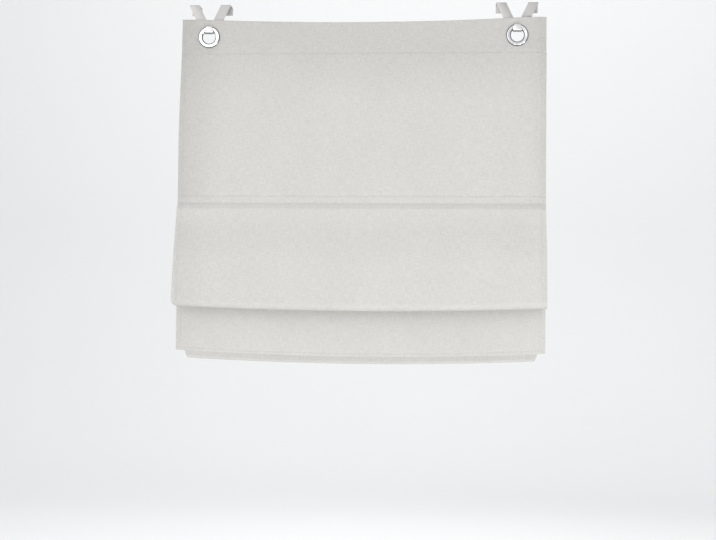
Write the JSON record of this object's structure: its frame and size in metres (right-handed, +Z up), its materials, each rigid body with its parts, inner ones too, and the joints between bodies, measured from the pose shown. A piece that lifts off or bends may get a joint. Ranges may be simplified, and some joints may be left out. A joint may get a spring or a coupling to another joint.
{
  "type": "roman blind",
  "caption": "Hook-on roman blind of heathered linen-look cloth, hung by forked sash hooks through chrome eyelets, with one pleat drawn up over a short lower panel.",
  "frame": {"origin": "midway between the two hooks, in the middle plane of the header cloth, level with the top edge of the sash that the hooks sit on", "axes": "+X along the blind to the right as seen from the room, +Y towards the window, +Z up"},
  "size_m": [0.6, 0.0713, 0.5913],
  "materials": {
    "cloth": "matt heathered linen-look weave",
    "channel_tape": "plain woven tape",
    "eyelet_chrome": "polished",
    "hook_steel": "satin",
    "fibreglass_rod": "smooth, slightly glassy",
    "bottom_rod_steel": "drawn, dull",
    "rod_cap_plastic": "moulded",
    "ring_plastic": "milky, moulded",
    "bead_plastic": "moulded",
    "cord": "fine braid",
    "lock_plastic": "moulded, fine grain",
    "button_plastic": "moulded",
    "spring_steel": "bright wire"
  },
  "bodies": {
    "header": {"blind_cloth": "cloth", "left_front_eyelet": "eyelet_chrome", "left_back_washer": "eyelet_chrome", "left_sash_hook": "hook_steel", "left_header_ring": "ring_plastic", "left_lift_cord": "cord", "left_lock_housing": "lock_plastic", "left_lock_spring": "spring_steel", "right_front_eyelet": "eyelet_chrome", "right_back_washer": "eyelet_chrome", "right_sash_hook": "hook_steel", "right_header_ring": "ring_plastic", "right_lift_cord": "cord", "right_lock_housing": "lock_plastic", "right_lock_spring": "spring_steel"},
    "first_rod": {"rod_pocket_1": "channel_tape", "channel_rod_1": "fibreglass_rod", "left_rod_1_cap": "rod_cap_plastic", "left_rod_1_ring": "ring_plastic", "right_rod_1_cap": "rod_cap_plastic", "right_rod_1_ring": "ring_plastic"},
    "second_rod": {"rod_pocket_2": "channel_tape", "channel_rod_2": "fibreglass_rod", "bottom_sleeve": "cloth", "bottom_rod": "bottom_rod_steel", "left_rod_2_cap": "rod_cap_plastic", "left_rod_2_ring": "ring_plastic", "left_cord_bead": "bead_plastic", "left_bottom_rod_cap": "rod_cap_plastic", "right_rod_2_cap": "rod_cap_plastic", "right_rod_2_ring": "ring_plastic", "right_cord_bead": "bead_plastic", "right_bottom_rod_cap": "rod_cap_plastic"},
    "left_button": {"left_lock_button": "button_plastic"},
    "right_button": {"right_lock_button": "button_plastic"}
  },
  "joints": [
    {"name": "raise_first_rod", "type": "slide", "parent": "header", "child": "first_rod", "axis": [0, 0, 1], "range_m": [0, 0.22], "deforming": ["blind_cloth", "left_lift_cord", "right_lift_cord"]},
    {"name": "lower_second_rod", "type": "slide", "parent": "first_rod", "child": "second_rod", "axis": [0, 0, -1], "range_m": [0, 0.34], "deforming": ["blind_cloth", "left_lift_cord", "right_lift_cord"]},
    {"name": "left_button_press", "type": "slide", "parent": "header", "child": "left_button", "axis": [1, 0, 0], "range_m": [0, 0.002], "stiffness_N_per_m": 400, "springref_m": -0.001, "deforming": ["left_lock_spring"]},
    {"name": "right_button_press", "type": "slide", "parent": "header", "child": "right_button", "axis": [-1, 0, 0], "range_m": [0, 0.002], "stiffness_N_per_m": 400, "springref_m": -0.001, "deforming": ["right_lock_spring"]}
  ]
}
